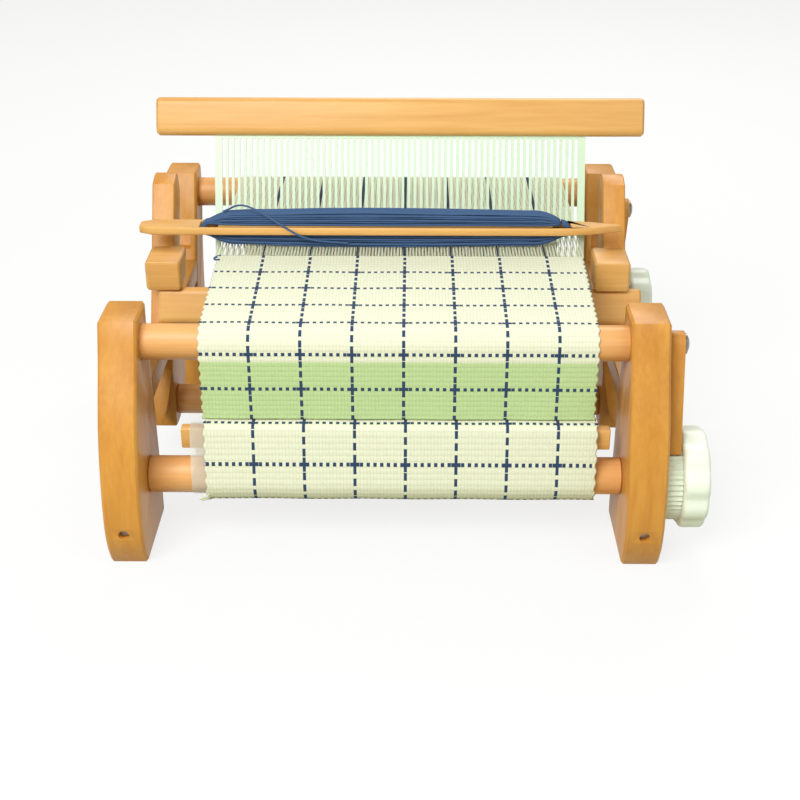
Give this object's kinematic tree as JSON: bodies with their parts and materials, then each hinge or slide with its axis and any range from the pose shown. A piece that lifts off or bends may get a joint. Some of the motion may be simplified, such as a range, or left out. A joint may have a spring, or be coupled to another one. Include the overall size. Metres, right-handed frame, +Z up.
{
  "type": "table loom",
  "caption": "Wooden table loom with a rigid heddle, warp and checked web on ratchet beams with scalloped knobs, and a stick shuttle of yarn",
  "frame": {"origin": "centre of the loom's footprint box, on the table", "axes": "+X to the weaver's right, along the beams; +Y away from the weaver; +Z up"},
  "size_m": [0.6016, 0.5286, 0.3944],
  "materials": {
    "beech": "clear satin varnish",
    "white_plastic": "satin, slightly translucent white",
    "steel": "plain",
    "cotton": "woven cotton",
    "reed_plastic": "satin",
    "navy_yarn": "spun yarn",
    "clear_strap": "clear"
  },
  "bodies": {
    "frame": {"front_leg_left": "beech", "front_leg_right": "beech", "rear_leg_left": "beech", "rear_leg_right": "beech", "front_rail_left": "beech", "front_rail_right": "beech", "rear_rail_left": "beech", "rear_rail_right": "beech", "stand_left": "beech", "stand_right": "beech", "jaw_left": "beech", "jaw_right": "beech", "breast_beam": "beech", "back_beam": "beech", "mid_stretcher": "beech", "front_pawl_screw": "white_plastic", "rear_pawl_screw": "white_plastic", "foot_bolt_left": "steel", "foot_bolt_right": "steel", "cloth_web": "cotton", "warp": "cotton", "warp_tail": "cotton"},
    "cloth_beam_set": {"cloth_beam": "beech", "cloth_ratchet": "white_plastic", "cloth_knob": "white_plastic", "cloth_knob_screw": "steel", "apron": "clear_strap", "apron_rod": "beech", "cloth_roll": "cotton"},
    "warp_beam_set": {"warp_beam": "beech", "warp_ratchet": "white_plastic", "warp_knob": "white_plastic", "warp_knob_screw": "steel", "warp_roll": "cotton"},
    "front_pawl_arm": {"front_pawl": "beech"},
    "rear_pawl_arm": {"rear_pawl": "beech"},
    "heddle": {"heddle_lower_bar": "beech", "heddle_upper_bar": "beech", "reed": "reed_plastic", "heddle_screw_left": "steel", "heddle_screw_right": "steel"},
    "shuttle_stick": {"shuttle": "beech", "shuttle_yarn": "navy_yarn"}
  },
  "joints": [
    {"name": "cloth_beam_turn", "type": "hinge", "parent": "frame", "child": "cloth_beam_set", "pos_m": [-0.0228, -0.19833, 0.075], "axis": [1, 0, 0], "continuous": true},
    {"name": "warp_beam_turn", "type": "hinge", "parent": "frame", "child": "warp_beam_set", "pos_m": [-0.0228, 0.19667, 0.092], "axis": [1, 0, 0], "continuous": true},
    {"name": "front_pawl_swing", "type": "hinge", "parent": "frame", "child": "front_pawl_arm", "pos_m": [0.2642, -0.18333, 0.217], "axis": [-1, 0, 0], "range_deg": [0, 35]},
    {"name": "rear_pawl_swing", "type": "hinge", "parent": "frame", "child": "rear_pawl_arm", "pos_m": [0.2642, 0.22167, 0.215], "axis": [1, 0, 0], "range_deg": [0, 35]},
    {"name": "heddle_beat", "type": "slide", "parent": "frame", "child": "heddle", "axis": [0, -1, 0], "range_m": [0, 0.035]},
    {"name": "shuttle_lift", "type": "slide", "parent": "heddle", "child": "shuttle_stick", "axis": [0, 0, 1], "range_m": [0, 0.08]}
  ]
}
